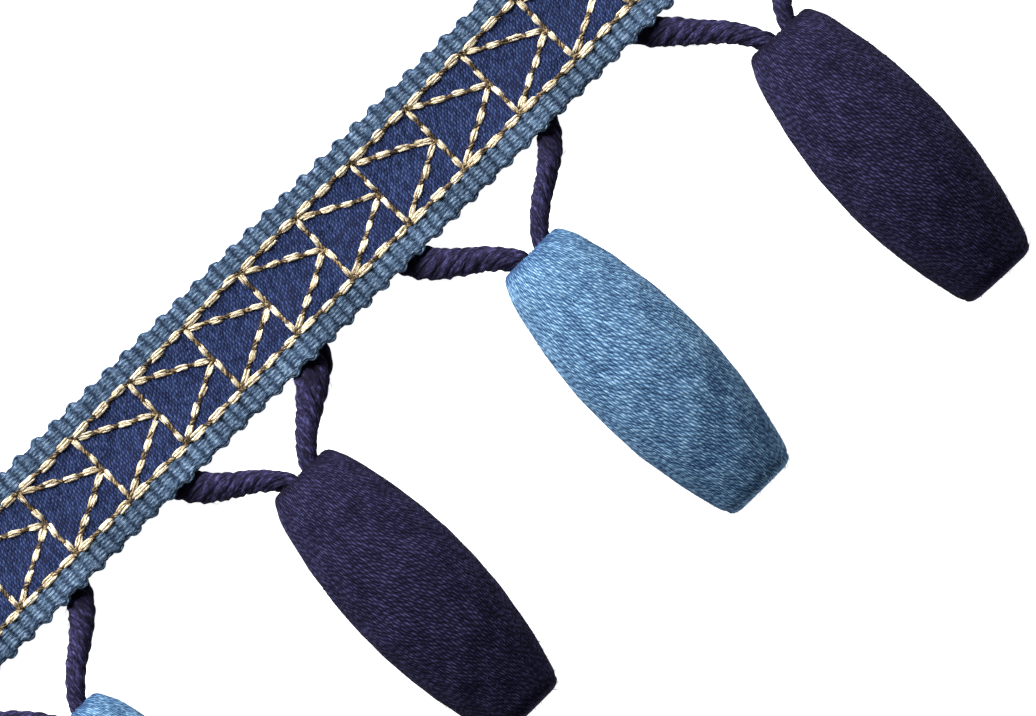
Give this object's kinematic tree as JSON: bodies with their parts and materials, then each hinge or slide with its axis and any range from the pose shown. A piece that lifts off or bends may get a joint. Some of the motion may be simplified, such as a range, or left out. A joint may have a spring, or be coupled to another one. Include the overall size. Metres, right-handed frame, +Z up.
{
  "type": "barrel drop fringe trim",
  "caption": "Flat length of woven furnishing trim: a scalloped heading with gold chevron stitching, and wrapped barrel drops hung below it on V-shaped twisted cords.",
  "frame": {"origin": "middle of the footprint on the surface that the trim lies on", "axes": "+X along the heading, +Y from the drops to the heading, +Z up from the back to the face of the trim"},
  "size_m": [0.1888, 0.082, 0.0197],
  "materials": {
    "heading_weave": "woven navy ground with light blue ribbed borders and gold stitching",
    "border_yarn": "ribbed light blue yarn",
    "gold_yarn": "cream and gold stitching yarn with a soft sheen",
    "light_yarn": "matt light blue yarn, wound lengthways",
    "dark_yarn": "matt dark navy yarn, wound lengthways",
    "hanger_cord": "matt dark navy twisted cord"
  },
  "bodies": {
    "root": {"heading": "heading_weave", "drop_1": "light_yarn", "drop_2": "dark_yarn", "drop_3": "light_yarn", "drop_4": "dark_yarn", "hanger_1": "hanger_cord", "hanger_2": "hanger_cord", "hanger_3": "hanger_cord", "hanger_4": "hanger_cord"}
  },
  "joints": []
}
